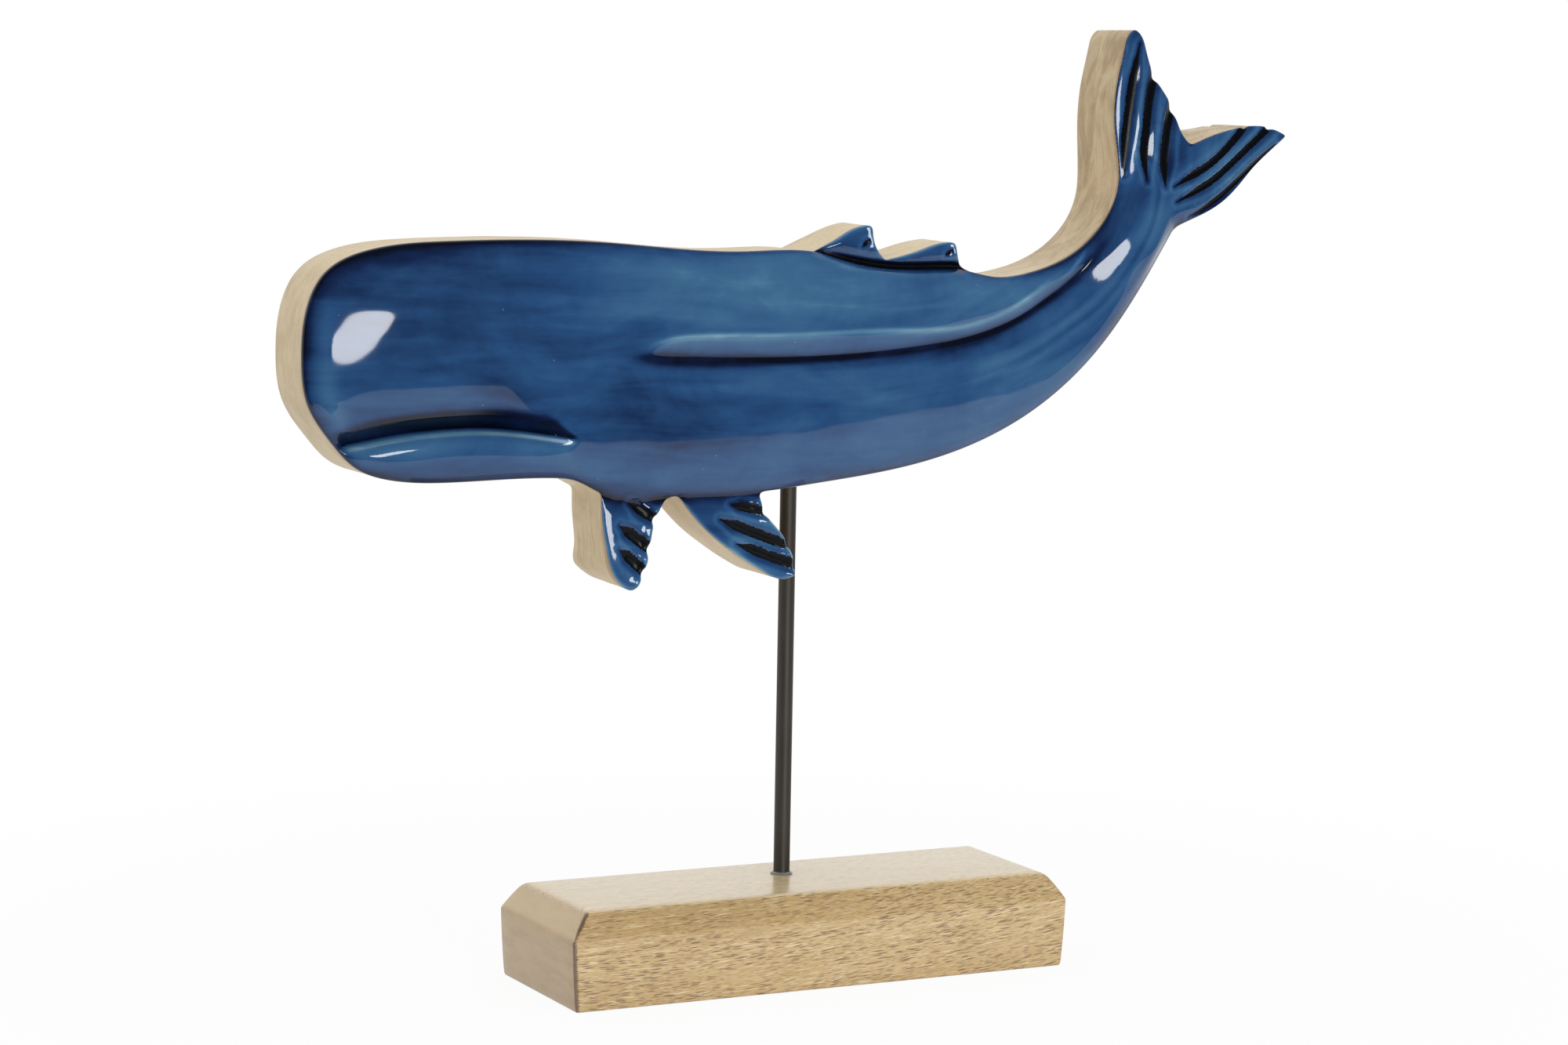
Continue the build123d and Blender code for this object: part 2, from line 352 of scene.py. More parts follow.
outerLoop = np.vstack([
    contour[:nearest(contour, line["rearDorsal"][-1])], line["rearDorsal"][::-1], line["frontDorsal"][::-1][1:],
    cut(line["frontDorsal"][0], line["frontFin"][0]), line["frontFin"],
    cut(line["frontFin"][-1], line["rearFinLead"][0]), line["rearFinLead"], line["rearFinTrail"][1:],
    contour[nearest(contour, line["rearFinTrail"][-1]) + 1:], line["lowerLobeEdge"][::-1][1:],
    line["lowerLobeTop"][::-1][1:], line["upperLobe"][::-1][1:-1],
])


def inwardNormals(loop):
    ahead = np.roll(loop, -1, axis=0) - np.roll(loop, 1, axis=0)
    ahead /= np.hypot(*ahead.T)[:, None]
    area = (loop[:, 0] * np.roll(loop[:, 1], -1) - np.roll(loop[:, 0], -1) * loop[:, 1]).sum()
    return np.stack([-ahead[:, 1], ahead[:, 0]], axis=1) * (1 if area > 0 else -1)


def notchLoop(loop):
    # the carved lines that run out at the edge leave a small scallop in it
    inward = inwardNormals(loop)
    for rows in carved.values():
        for points, width, depth, runsOut in rows:
            if runsOut and width > 2.5:
                centre = smoothLine(points, 0.4)
                inside = depthInside(loop, centre[:, 0], centre[:, 1]) > 0
                gap = np.hypot(*(loop - centre[inside][-1]).T)
                loop = loop + inward * (0.75 * smooth(-gap, -width * 0.75, 0))[:, None]
    return loop


def easeCorners(loop):
    for x, z, passes in eased:
        for _ in range(passes):
            near = np.hypot(loop[:, 0] - x, loop[:, 1] - z) < 4.5
            soft = (np.roll(loop, 1, axis=0) + 2 * loop + np.roll(loop, -1, axis=0)) / 4
            loop = np.where(near[:, None], soft, loop)
    return loop


outerLoop = notchLoop(easeCorners(outerLoop))
print("outline", len(outerLoop), "points")


# carved front

def grooveTaper(along, length, runsOut):
    taper = smooth(along, 0, 0.3 * length) ** 0.75
    return taper if runsOut else taper * smooth(along, length, 0.7 * length) ** 0.75


def gauss(value, centre, width):
    return np.exp(-((value - centre) / width) ** 2)


def pillow(depth, roll, crown, lip):
    # rolled edge with a small quarter round where the coat ends
    body = 1 - (1 - np.clip(depth / roll, 0, 1)) ** relief["power"]
    rim = np.sqrt(1 - (1 - np.clip(depth / relief["lipWidth"], 0, 1)) ** 2)
    return crown * body + lip * rim


def makeDome():
    # broad dome of the body on a coarse grid, blurred so that no ridge is left where its slopes meet
    size = relief["domeGrid"]
    xs, zs = np.arange(-204, 216, size), np.arange(166, 358, size)
    gx, gz = np.meshgrid(xs, zs)
    chest = np.interp(bodyLoop[:, 0], (-118, -58), (186.0, relief["belly"]))
    rise = np.where(bodyLoop[:, 1] < 200, np.clip(chest - bodyLoop[:, 1], 0, None), 0)
    d = depthInside(bodyLoop + np.outer(rise, (0, 1)), gx.ravel(), gz.ravel()).reshape(gx.shape)
    radius = relief["domeRadius"] - 16 * smooth(gx, 30, 100)
    t = np.clip(d / radius, None, 1)
    dome = relief["domeSlope"] * radius * np.where(t > 0, t - t * t / 2, t) * (1 - 0.8 * smooth(gz, 268, 297))
    kernel = np.exp(-(np.arange(-5, 6) / 2.0) ** 2 / 2)
    kernel /= kernel.sum()
    for axis in (0, 1):
        padded = np.pad(dome, [(5, 5) if a == axis else (0, 0) for a in (0, 1)], mode="edge")
        dome = np.apply_along_axis(lambda row: np.convolve(row, kernel, "valid"), axis, padded)
    return xs, zs, dome


def domeAt(x, z):
    xs, zs, dome = domeGrid
    size = relief["domeGrid"]
    u, v = (x - xs[0]) / size, (z - zs[0]) / size
    i, j = np.floor(u).astype(int), np.floor(v).astype(int)
    u, v = u - i, v - j
    near, far = (dome[j + k, i] * (1 - u) + dome[j + k, i + 1] * u for k in (0, 1))
    return near * (1 - v) + far * v


def frontHeight(x, z):
    # how far the front stands out from the arris, in mm, and how light the enamel runs there, painted shade and painted
    # highlights included
    own = depthInside(bodyLoop, x, z)
    outer = depthInside(outerLoop, x, z)
    body = np.minimum(own, outer)
    inBody = own > 0
    deep = np.clip(body, 0, None)
    edge = np.clip(outer, 0, None)
    limb = np.clip(-own, 0, None)
    fluke = smooth(z, 268, 297)
    flat = smooth(z, 258, 284)
    roll = relief["edgeRoll"] * (1 - flat) + relief["flukeRoll"] * flat
    crown = relief["edgeCrown"] * (1 - flat) + relief["flukeCrown"] * flat
    height = pillow(deep, roll, crown, relief["lip"] * (1 - 0.8 * fluke))
    height = height + np.clip(domeAt(x, z), 0, None) * smooth(deep, 0, 3) + fluke * (1 - np.exp(-deep / 9))
    for hillX, hillZ, turn, long, wide, rise in relief["hills"]:
        c, s = math.cos(math.radians(turn)), math.sin(math.radians(turn))
        ahead, aside = (x - hillX) * c + (z - hillZ) * s, (z - hillZ) * c - (x - hillX) * s
        height = height + rise * gauss(ahead, 0, long) * gauss(aside, 0, wide) * smooth(deep, 0, 8)
    # darker along the arris; the pale rim on the flukes is a painted highlight
    rimGlint = np.exp(-edge / 0.5)
    coatPoolAndShade = 0.7 * np.exp(-deep / 1.5) * (1 - 0.6 * fluke)
    lift = 0.6 * fluke * rimGlint
    inset = smooth(deep, 0, 4)
    trail = np.min([np.abs(lineField(row, x, z)[0]) for row in trailLines], axis=0)

    for key, here in (("dorsal", ~inBody & (z > 240)), ("fin", ~inBody & (z < 200))):
        short = 1 - 0.85 * smooth(trail, 6, 2)
        rise, middle, width = relief[key + "Bead"]
        finCrown = relief[key + "Crown"] * (1 - 0.5 * smooth(x, -54, -46) * (z < 200))
        stand = pillow(edge, relief[key + "Roll"] * short, finCrown, 0.2) * smooth(limb, 0, 6) \
            + relief[key + "Out"] * limb + rise * gauss(trail, middle, width) * smooth(limb, 0, 4)
        height = np.where(here, stand, height)
        # painted shade where the fins meet the body, and painted highlights along their edges and trailing edges
        coatPoolAndShade = np.where(here, 0.75 * np.exp(-limb / 3.5), coatPoolAndShade)
        lift = np.where(here, (1.2 * rimGlint + 0.9 * np.exp(-trail / 0.8)) * smooth(limb, 1, 4), lift)

    # mouth: the upper jaw rolls down in an arch, then drops steeply to the line; the lower lip stands up behind it
    away, along, length = lineField(mouthLine, x, z)
    share = along / length
    over = np.clip(away, 0, None)
    fade = smooth(share, 0, 0.08) * smooth(share, 1.0, 0.96) * inset
    narrow = 0.12 + 0.88 * smooth(share, 1.0, 0.84)
    reach = relief["mouthReach"] * smooth(share, 0, 0.11) * smooth(share, 1.02, 0.68)
    fall = np.clip(1 - over / (relief["wall"] * narrow), 0, None)
    wallDepth = (relief["wallDepth"] + 2.4 * smooth(share, 0.5, 0.85)) * narrow
    steep = wallDepth * np.where(fall < 0.3, fall ** 2 / 0.6, fall - 0.15)
    above = steep + 0.007 * np.clip(reach - over, 0, None) ** 2
    below = (0.85 * wallDepth + 0.007 * reach ** 2) * np.exp(np.clip(away, None, 0) / 2.0)
    height = height - fade * np.where(away >= 0, above, below)
    # painted shade: a dark band on the wall above the mouth line
    coatPoolAndShade = coatPoolAndShade + fade * 0.95 * smooth(away, -0.6, 0.6) * smooth(away / narrow, 8.5, 4.0)
    # the shaded wall at the corner of the mouth mirrors nothing
    shaded = smooth(share, 0.5, 0.72) * smooth(share, 1.03, 0.99) * smooth(away, -0.8, 0.2) * smooth(away, 9.0, 6.5)
    gloss = 1 - 0.95 * shaded
    # a lighter line along the crest of the lower lip: partly less enamel over the crest, partly painted highlight
    lift = lift + fade * (gauss(away, -1.4, 0.8) * (0.8 + 0.9 * share) + 0.35 * gauss(away, -4.6, 3.0))

    # flank: a rounded ridge over a long crease, with a wide hollow under it towards the tail
    away, along, length = lineField(flankLine, x, z)
    share = along / length
    start = 1 - np.exp(-np.clip(share - 0.03, 0, None) / 0.04)
    fade = smooth(share, 1.0, 0.86) * smooth(deep, 0, 4 + 3 * smooth(share, 0.68, 0.82))
    wide = 5.0 + 6.0 * smooth(share, 0.35, 0.9)
    dip = relief["flankDepth"] * smooth(share, 0.025, 0.13) \
        * (0.9 + 0.4 * smooth(share, 0.5, 0.85) - 0.5 * smooth(share, 0.76, 0.88))
    soft = np.sqrt(away ** 2 + 0.6) - 0.77
    reach = 1.0 + start * (12.0 - 3.0 * smooth(share, 0.4, 0.65))
    above = dip * np.clip(1 - soft / reach, 0, None) ** 2
    below = dip * np.exp(-soft / wide)
    height = height - fade * np.where(away >= 0, above, below)
    # painted shade in the crease and in the hollow under the ridge
    shade = np.where(away > -0.8, 2.2, (0.55 - 0.15 * smooth(share, 0.6, 0.8)) * wide)
    narrow = 1.0 + 1.1 * smooth(share, 0.42, 0.1) + 0.7 * smooth(share, 0.62, 0.85)
    crease = 0.64 * gauss(away, -0.5, narrow) + 0.42 * gauss(away, -0.8, shade)
    coatPoolAndShade = coatPoolAndShade + fade * smooth(share, -0.005, 0.08) * crease * (1 - 0.4 * smooth(share, 0.7, 0.88))
    # painted highlight along the crest of the ridge
    crest = start * (8.6 - 4.0 * smooth(share, 0.4, 0.62) + 1.5 * smooth(share, 0.66, 0.8))
    crestGlint = gauss(away, crest, np.where(away > crest, 0.9, 1.8)) * (0.92 - 0.42 * smooth(share, 0.5, 0.8))
    crestGlint = crestGlint + 0.2 * gauss(away, 5.0, 3.5) * smooth(share, 0.7, 0.5)
    lift = lift + fade * smooth(share, 0.03, 0.1) * crestGlint * smooth(share, 0.93, 0.82)
    # lighter streaks under the flank towards the tail, and a painted highlight line on the upper side of the crease
    # near the tail
    bandsAndGlint = 0.15 * gauss(away, -11.5, 2.0) + 0.11 * gauss(away, -16, 1.4) - 0.06 * gauss(away, -13.8, 0.9)
    bandsAndGlint = bandsAndGlint * smooth(share, 0.5, 0.7) + 0.5 * gauss(away, 3.2, 0.7) * smooth(share, 0.78, 0.86) * inset

    for node, rows in carved.items():
        for centre, width, depth, runsOut in rows:
            near = (np.abs(x - centre[:, 0].mean()) < np.ptp(centre[:, 0]) / 2 + 7) \
                & (np.abs(z - centre[:, 1].mean()) < np.ptp(centre[:, 1]) / 2 + 7)
            if not near.any():
                continue
            gap, along, length = lineField(centre, x[near], z[near])
            taper = grooveTaper(along, length, runsOut)
            half = width * (0.35 + 0.5 * taper) + 0.5
            height[near] -= depth * (0.25 + 0.75 * taper) * np.clip(1 - (gap / half) ** 2, 0, 1) ** 2
            if node == "pectoral_fin_lines":
                shingle = np.where(gap > 0, np.exp(-np.abs(gap) / 3.2), np.exp(-np.abs(gap) / 0.8))
                height[near] += relief["shingle"][int(centre[0, 0] > -50)] * shingle * taper * smooth(limb[near], 0, 4)
            # darker in each groove and paler on its banks: partly more and less enamel, partly painted shade and
            # painted highlight
            coatPoolAndShade[near] += 0.3 * gauss(gap, 0, 1.1 * half)
            lift[near] += 0.42 * gauss(np.abs(gap), 1.2 * half, 1.0)

    # lighter over the back and tail, darker at the nose, along the top edge of the front half and in the dorsal fins
    tone = 0.35 + bandsAndGlint + 0.24 * smooth(z, 230, 248) * smooth(x, -110, -50) * smooth(x, 118, 80) \
        + 0.1 * smooth(x, 50, 75) * smooth(z, 240, 222) + 0.05 * gauss(x, -12, 30) * smooth(z, 205, 218) \
        + (0.07 * smooth(x, -25, 20) + 0.06 * smooth(x, -60, -150)) * smooth(z, 232, 222) \
        + 0.2 * gauss(body, 6, 4) * smooth(x, -166, -182) * smooth(z, 252, 240) - 0.07 * smooth(x, -90, -130) \
        - 0.1 * np.exp(-deep / 6) * smooth(z, 225, 250) * smooth(x, 20, -20) - 0.04 * gauss(x, 60, 22) * smooth(z, 210, 220) \
        - 0.2 * (~inBody & (z > 240))
    # painted reflection of the floor: lighter along the bottom of the belly, dimmed a little under its middle
    belly = 0.05 * smooth(z, 203, 195) * smooth(x, -170, -150) - 0.07 * gauss(x, -45, 20) * smooth(z, 201, 195)
    tone = tone + belly * inBody
    for patchX, patchZ, long, high, amount in relief["patches"]:
        tone = tone + amount * gauss(x, patchX, long) * gauss(z, patchZ, high)
    # the painted highlights and painted shade above are mixed into the tone here
    tone = tone + 0.42 * np.clip(lift, 0, 1.5) - 0.5 * np.clip(coatPoolAndShade, 0, 1)
    return height, np.clip(tone, 0, 1), gloss


def ripple(x, z):
    # slow unevenness of the flowed coat, in mm
    values = [noise.noise((a / 34, b / 20, 3.7)) * 0.08 + noise.noise((a / 11, b / 6, 8.1)) * 0.02
              for a, b in zip(x, z)]
    return np.array(values)


domeGrid = makeDome()
mouthLine = smoothLine(relief["mouth"], 1.0)
flankLine = smoothLine(relief["flank"], 1.0)
flowLine = smoothLine(relief["flow"], 2.0)
trailStarts = {"rearFinTrail": (-3.8, 148.6), "frontFin": (-66, 147.6), "frontDorsal": (25.2, 274),
               "rearDorsal": (59.8, 267.6)}
trailLines = [line[key][nearest(line[key], start):] for key, start in trailStarts.items()]
carved = {node: [(smoothLine(points, 0.5), width, depth, runsOut) for points, width, depth, runsOut in rows]
          for node, rows in carved.items()}


def gridInside(loop, size, margin):
    # rows of evenly spaced points inside a loop, every other row shifted by half a step
    rows = []
    closed = np.vstack([loop, loop[:1]])
    low, high = loop[:, 1].min(), loop[:, 1].max()
    for n, z in enumerate(np.arange(low + size / 2, high, size * 0.866)):
        a, b = closed[:-1], closed[1:]
        hit = (a[:, 1] > z) != (b[:, 1] > z)
        xs = np.sort(a[hit, 0] + (z - a[hit, 1]) * (b[hit, 0] - a[hit, 0]) / (b[hit, 1] - a[hit, 1]))
        for left, right in zip(xs[::2], xs[1::2]):
            start = math.ceil(left / size) * size + (n % 2) * size / 2
            row = np.arange(start, right, size)
            rows.append(np.stack([row, np.full(len(row), z)], axis=1))
    points = np.vstack(rows)
    return points[depthInside(loop, points[:, 0], points[:, 1]) > margin]


def ribbonPoints(centre, reach, size):
    ahead = np.gradient(centre, axis=0)
    ahead /= np.hypot(*ahead.T)[:, None]
    side = np.stack([-ahead[:, 1], ahead[:, 0]], axis=1)
    return np.vstack([centre + side * off for off in np.arange(-reach, reach + 0.01, size)])


def triangulate(loop, inner):
    # triangles that fill the loop, with the loop's own points first and in order
    points = [Vector(p) for p in np.vstack([loop, inner])]
    n = len(loop)
    edges = [(i, (i + 1) % n) for i in range(n)]
    verts, _, faces, _, _, _ = delaunay_2d_cdt(points, edges, [], 1, 1e-5)
    return np.array([tuple(v) for v in verts]), faces


def thinOut(points, size):
    # drops points that crowd another one
    keep = {}
    for p in points:
        keep.setdefault((round(p[0] / size), round(p[1] / size)), p)
    return np.array(list(keep.values()))


fine = [ribbonPoints(centre, 0.85 * width + 0.8, 0.5) for rows in carved.values() for centre, width, depth, runsOut in rows]
fine += [ribbonPoints(mouthLine, 6.0, 0.7), ribbonPoints(flankLine, 9.8, 0.7)]
fine = thinOut(np.vstack(fine), relief["fineGrid"])
fine = fine[depthInside(outerLoop, fine[:, 0], fine[:, 1]) > 2.0]
coarse = gridInside(outerLoop, relief["grid"], 2.4)
inward = inwardNormals(outerLoop)
rings = np.vstack([outerLoop + inward * reach for reach in (0.22, 0.5, 0.95, 1.6)])
rings = thinOut(rings[depthInside(outerLoop, rings[:, 0], rings[:, 1]) > 0.15], 0.2)
crowded = set((round(p[0]), round(p[1])) for p in fine)
coarse = np.array([p for p in coarse if (round(p[0]), round(p[1])) not in crowded])
frontVerts, frontFaces = triangulate(outerLoop, np.vstack([coarse, fine, rings]))
print("front", len(frontVerts), "verts", len(frontFaces), "faces")


def bedAt(points):
    # the board's front lies a little deeper under the middle of the coat than at its edge
    return outline["frontY"] + 3.4 * smooth(depthInside(outerLoop, points[:, 0], points[:, 1]), 0, 5)


def buildEnamel():
    x, z = frontVerts[:, 0], frontVerts[:, 1]
    height, tone, gloss = frontHeight(x, z)
    height = height + ripple(x, z) * smooth(depthInside(outerLoop, x, z), 0.5, 9)
    across, along, _ = lineField(flowLine, x, z)
    n = len(outerLoop)
    rim = 0.5
    top = np.stack([x, outline["frontY"] - height, z], axis=1)
    rimRing = top[:n] + np.array([0, rim, 0])
    inner = underVerts[n:]
    under = np.stack([inner[:, 0], bedAt(inner) + rim, inner[:, 1]], axis=1)
    count = len(top)
    verts = np.vstack([top, rimRing, under]) * mm
    faces = [tuple(f) for f in frontFaces]
    faces += [(i, count + i, count + (i + 1) % n, (i + 1) % n) for i in range(n)]
    faces += [tuple(count + i for i in f[::-1]) for f in underFaces]
    piece = makeMesh("blueEnamel", verts.tolist(), faces, crease=1.15)
    turnOutward(piece)
    low = np.zeros(n + len(inner))
    for name, values in (("tone", tone), ("gloss", gloss), ("along", along), ("across", across)):
        layer = piece.data.attributes.new(name, "FLOAT", "POINT")
        layer.data.foreach_set("value", np.concatenate([values, low]).astype(np.float32))
    return piece, top[:n]


def leanAt(points):
    tilt = np.zeros((len(points), 2))
    for x, z, reach, dx, dz in lean:
        tilt += np.outer(np.exp(-((points[:, 0] - x) ** 2 + (points[:, 1] - z) ** 2) / reach ** 2), (dx, dz))
    return tilt


def buildWhaleWood(arris):
    # the board under the enamel: wavy sawn and sanded wall, eased back edge, socket for the rod
    n = len(outerLoop)
    inward = inwardNormals(outerLoop)
    back = outline["backY"]
    ease = 1.6
    tilt = leanAt(outerLoop)
    rings = [arris + np.array([0, 0.52, 0])]
    for share in (0.06, 0.25, 0.5, 0.75, 1.0):
        y = rings[0][:, 1] + share * (back - ease - rings[0][:, 1])
        dent = np.array([0.14 + 0.14 * noise.noise((a / 14, b / 11, c / 9)) for (a, c), b in zip(outerLoop, y)])
        spot = outerLoop + inward * (dent * smooth(share, 0, 0.2))[:, None] + tilt * share
        rings.append(np.stack([spot[:, 0], y, spot[:, 1]], axis=1))
    for angle in (30, 60, 90):
        a = math.radians(angle)
        spot = outerLoop + inward * (0.14 + ease * (1 - math.cos(a))) + tilt
        y = np.full(n, back - ease + ease * math.sin(a))
        rings.append(np.stack([spot[:, 0], y, spot[:, 1]], axis=1))
    inner = underVerts[n:]
    front = np.stack([inner[:, 0], bedAt(inner) + 0.55, inner[:, 1]], axis=1)
    spot = inner + leanAt(inner)
    rear = np.stack([spot[:, 0], np.full(len(inner), back), spot[:, 1]], axis=1)
    verts = np.vstack(rings + [front, rear]) * mm
    last = len(rings) - 1
    firstInner = len(rings) * n
    faces = []
    for r in range(last):
        faces += [(r * n + i, (r + 1) * n + i, (r + 1) * n + (i + 1) % n, r * n + (i + 1) % n) for i in range(n)]
    faces += [tuple(i if i < n else firstInner + i - n for i in f) for f in underFaces]
    shift = firstInner + len(inner)
    faces += [tuple(last * n + i if i < n else shift + i - n for i in f[::-1]) for f in underFaces]
    piece = makeMesh("whaleWood", verts.tolist(), faces, crease=0.7)
    cutSocket(piece)
    return piece


rod = {"x": 0.8, "y": 6.0, "radius": 3.0, "low": 10.0, "high": 210.6, "clear": 0.05}


def cutSocket(piece):
    # opens a round hole in the belly edge and lines it
    bm = bmesh.new()
    bm.from_mesh(piece.data)
    bore = (rod["radius"] + rod["clear"]) * mm
    cx, cy = rod["x"] * mm, rod["y"] * mm
    patch = [f for f in bm.faces if 0.150 < f.calc_center_median().z < 0.1835
             and any(abs(v.co.x - cx) < bore * 1.25 and abs(v.co.y - cy) < bore * 1.25 for v in f.verts)
             and abs(f.calc_center_median().x - cx) < 0.006]
    loop = {e for f in patch for e in f.edges if sum(g in patch for g in e.link_faces) == 1}
    bmesh.ops.delete(bm, geom=patch, context="FACES")
    loop = [e for e in loop if e.is_valid]
    count = 48
    low, high = [], []
    for i in range(count):
        a = 2 * math.pi * i / count
        x, y = cx + bore * math.cos(a), cy + bore * math.sin(a)
        z = np.interp(x / mm, bellyLine[:, 0], bellyLine[:, 1]) * mm + 0.00014
        low.append(bm.verts.new((x, y, z)))
        high.append(bm.verts.new((x, y, rod["high"] * mm + 0.00005)))
    edges = [bm.edges.new((low[i], low[(i + 1) % count])) for i in range(count)]
    bmesh.ops.triangle_fill(bm, use_beauty=True, use_dissolve=False, edges=loop + edges)
    for i in range(count):
        bm.faces.new((low[i], low[(i + 1) % count], high[(i + 1) % count], high[i]))
    bm.faces.new(high)
    bmesh.ops.recalc_face_normals(bm, faces=bm.faces)
    for f in bm.faces:
        f.smooth = True
    bm.to_mesh(piece.data)
    bm.free()
    piece.data.set_sharp_from_angle(angle=0.7)


bellyLine = contour[nearest(contour, (-20, 178.6)):nearest(contour, (50, 187.8))]
underVerts, underFaces = triangulate(outerLoop, gridInside(outerLoop, relief["backGrid"], 2.4))
enamel, arris = buildEnamel()
whaleWood = buildWhaleWood(arris)
print("enamel", len(enamel.data.polygons), "whale wood", len(whaleWood.data.polygons))


# black paint in the carved lines: a strip that follows each line and is dropped onto the relief

ink = {"across": 9, "perMm": 3.0, "share": 1.02, "offset": 0.14, "ragged": 0.4, "lift": 0.05, "skin": 0.22, "seed": 5}


def socketId(group, name):
    return next(item.identifier for item in group.interface.items_tree
                if item.item_type == "SOCKET" and item.in_out == "INPUT" and item.name == name)


def makeInkGroup():
    group = bpy.data.node_groups.new("inkStrip", "GeometryNodeTree")
    face = group.interface
    face.new_socket("Geometry", in_out="INPUT", socket_type="NodeSocketGeometry")
    for name, kind in (("Surface", "Object"), ("Along", "Int"), ("Across", "Int"), ("Ragged", "Float"), ("Lift", "Float"),
                       ("Seed", "Float"), ("Paint", "Material")):
        face.new_socket(name, in_out="INPUT", socket_type="NodeSocket" + kind)
    face.new_socket("Geometry", in_out="OUTPUT", socket_type="NodeSocketGeometry")
    links = group.links

    def add(kind, settings=None, sockets=None):
        node = group.nodes.new(kind)
        for key, value in (settings or {}).items():
            setattr(node, key, value)
        for key, value in (sockets or {}).items():
            if hasattr(value, "is_output"):
                links.new(value, node.inputs[key])
            else:
                node.inputs[key].default_value = value
        return node

    def maths(operation, a, b):
        return add("ShaderNodeMath", {"operation": operation}, {0: a, 1: b}).outputs[0]

    given = add("NodeGroupInput").outputs
    sheet = add("GeometryNodeMeshGrid", {}, {"Size X": 1.0, "Size Y": 1.0, "Vertices X": given["Along"],
                                             "Vertices Y": given["Across"]})
    spot = add("ShaderNodeSeparateXYZ", {}, {0: add("GeometryNodeInputPosition").outputs[0]}).outputs
    along = maths("ADD", spot["X"], 0.5)
    across = maths("MULTIPLY", spot["Y"], 2.0)
    path = add("GeometryNodeSampleCurve", {"mode": "FACTOR", "use_all_curves": True},
               {"Curves": given["Geometry"], "Value": add("GeometryNodeInputRadius").outputs[0], "Factor": along}).outputs
    side = add("ShaderNodeVectorMath", {"operation": "CROSS_PRODUCT"}, {0: path["Tangent"], 1: (0.0, 1.0, 0.0)}).outputs[0]
    # wander of the paint's edge, different on the two sides
    sign = maths("SIGN", across, 0.0)
    shifted = add("ShaderNodeVectorMath", {"operation": "MULTIPLY_ADD"},
                  {0: path["Position"], 1: (900.0, 900.0, 900.0),
                   2: add("ShaderNodeCombineXYZ", {}, {1: maths("MULTIPLY", sign, 40.0)}).outputs[0]}).outputs[0]
    wander = add("ShaderNodeTexNoise", {"noise_dimensions": "4D"},
                 {"Vector": shifted, "W": given["Seed"], "Scale": 1.7, "Detail": 3.0, "Roughness": 0.65}).outputs[0]
    edge = maths("POWER", maths("ABSOLUTE", across, 0.0), 2.0)
    swing = maths("MULTIPLY", maths("SUBTRACT", wander, 0.5), edge)
    swing = maths("MULTIPLY", swing, maths("MULTIPLY", given["Ragged"], 4.0))
    swing = maths("MULTIPLY", swing, maths("ADD", 0.7, maths("MULTIPLY", sign, 0.3)))
    half = maths("MULTIPLY", path[0], maths("ADD", across, maths("MULTIPLY", swing, sign)))
    flat = add("ShaderNodeVectorMath", {"operation": "MULTIPLY_ADD"},
               {0: side, 1: add("ShaderNodeCombineXYZ", {}, {0: half, 1: half, 2: half}).outputs[0],
                2: path["Position"]}).outputs[0]
    flatParts = add("ShaderNodeSeparateXYZ", {}, {0: flat}).outputs
    source = add("ShaderNodeCombineXYZ", {}, {0: flatParts[0], 1: -0.08, 2: flatParts[2]}).outputs[0]
    target = add("GeometryNodeObjectInfo", {"transform_space": "ORIGINAL"}, {"Object": given["Surface"]}).outputs["Geometry"]
    ray = add("GeometryNodeRaycast", {}, {"Target Geometry": target, "Source Position": source,
                                          "Ray Direction": (0.0, 1.0, 0.0), "Ray Length": 0.09}).outputs
    lifted = add("ShaderNodeVectorMath", {"operation": "SUBTRACT"},
                 {0: ray["Hit Position"],
                  1: add("ShaderNodeCombineXYZ", {}, {1: given["Lift"]}).outputs[0]}).outputs[0]
    kept = add("GeometryNodeStoreNamedAttribute", {"data_type": "BOOLEAN", "domain": "POINT"},
               {"Geometry": sheet.outputs["Mesh"], "Name": "landed", "Value": ray["Is Hit"]}).outputs[0]
    moved = add("GeometryNodeSetPosition", {}, {"Geometry": kept, "Position": lifted}).outputs[0]
    landed = add("GeometryNodeInputNamedAttribute", {"data_type": "BOOLEAN"}, {"Name": "landed"}).outputs[0]
    lost = add("FunctionNodeBooleanMath", {"operation": "NOT"}, {0: landed}).outputs[0]
    trimmed = add("GeometryNodeDeleteGeometry", {"domain": "POINT"}, {"Geometry": moved, "Selection": lost}).outputs[0]
    real = add("GeometryNodeRealizeInstances", {}, {"Geometry": trimmed}).outputs[0]
    painted = add("GeometryNodeSetMaterial", {}, {"Geometry": real, "Material": given["Paint"]}).outputs[0]
    links.new(painted, add("NodeGroupOutput").inputs[0])
    return group


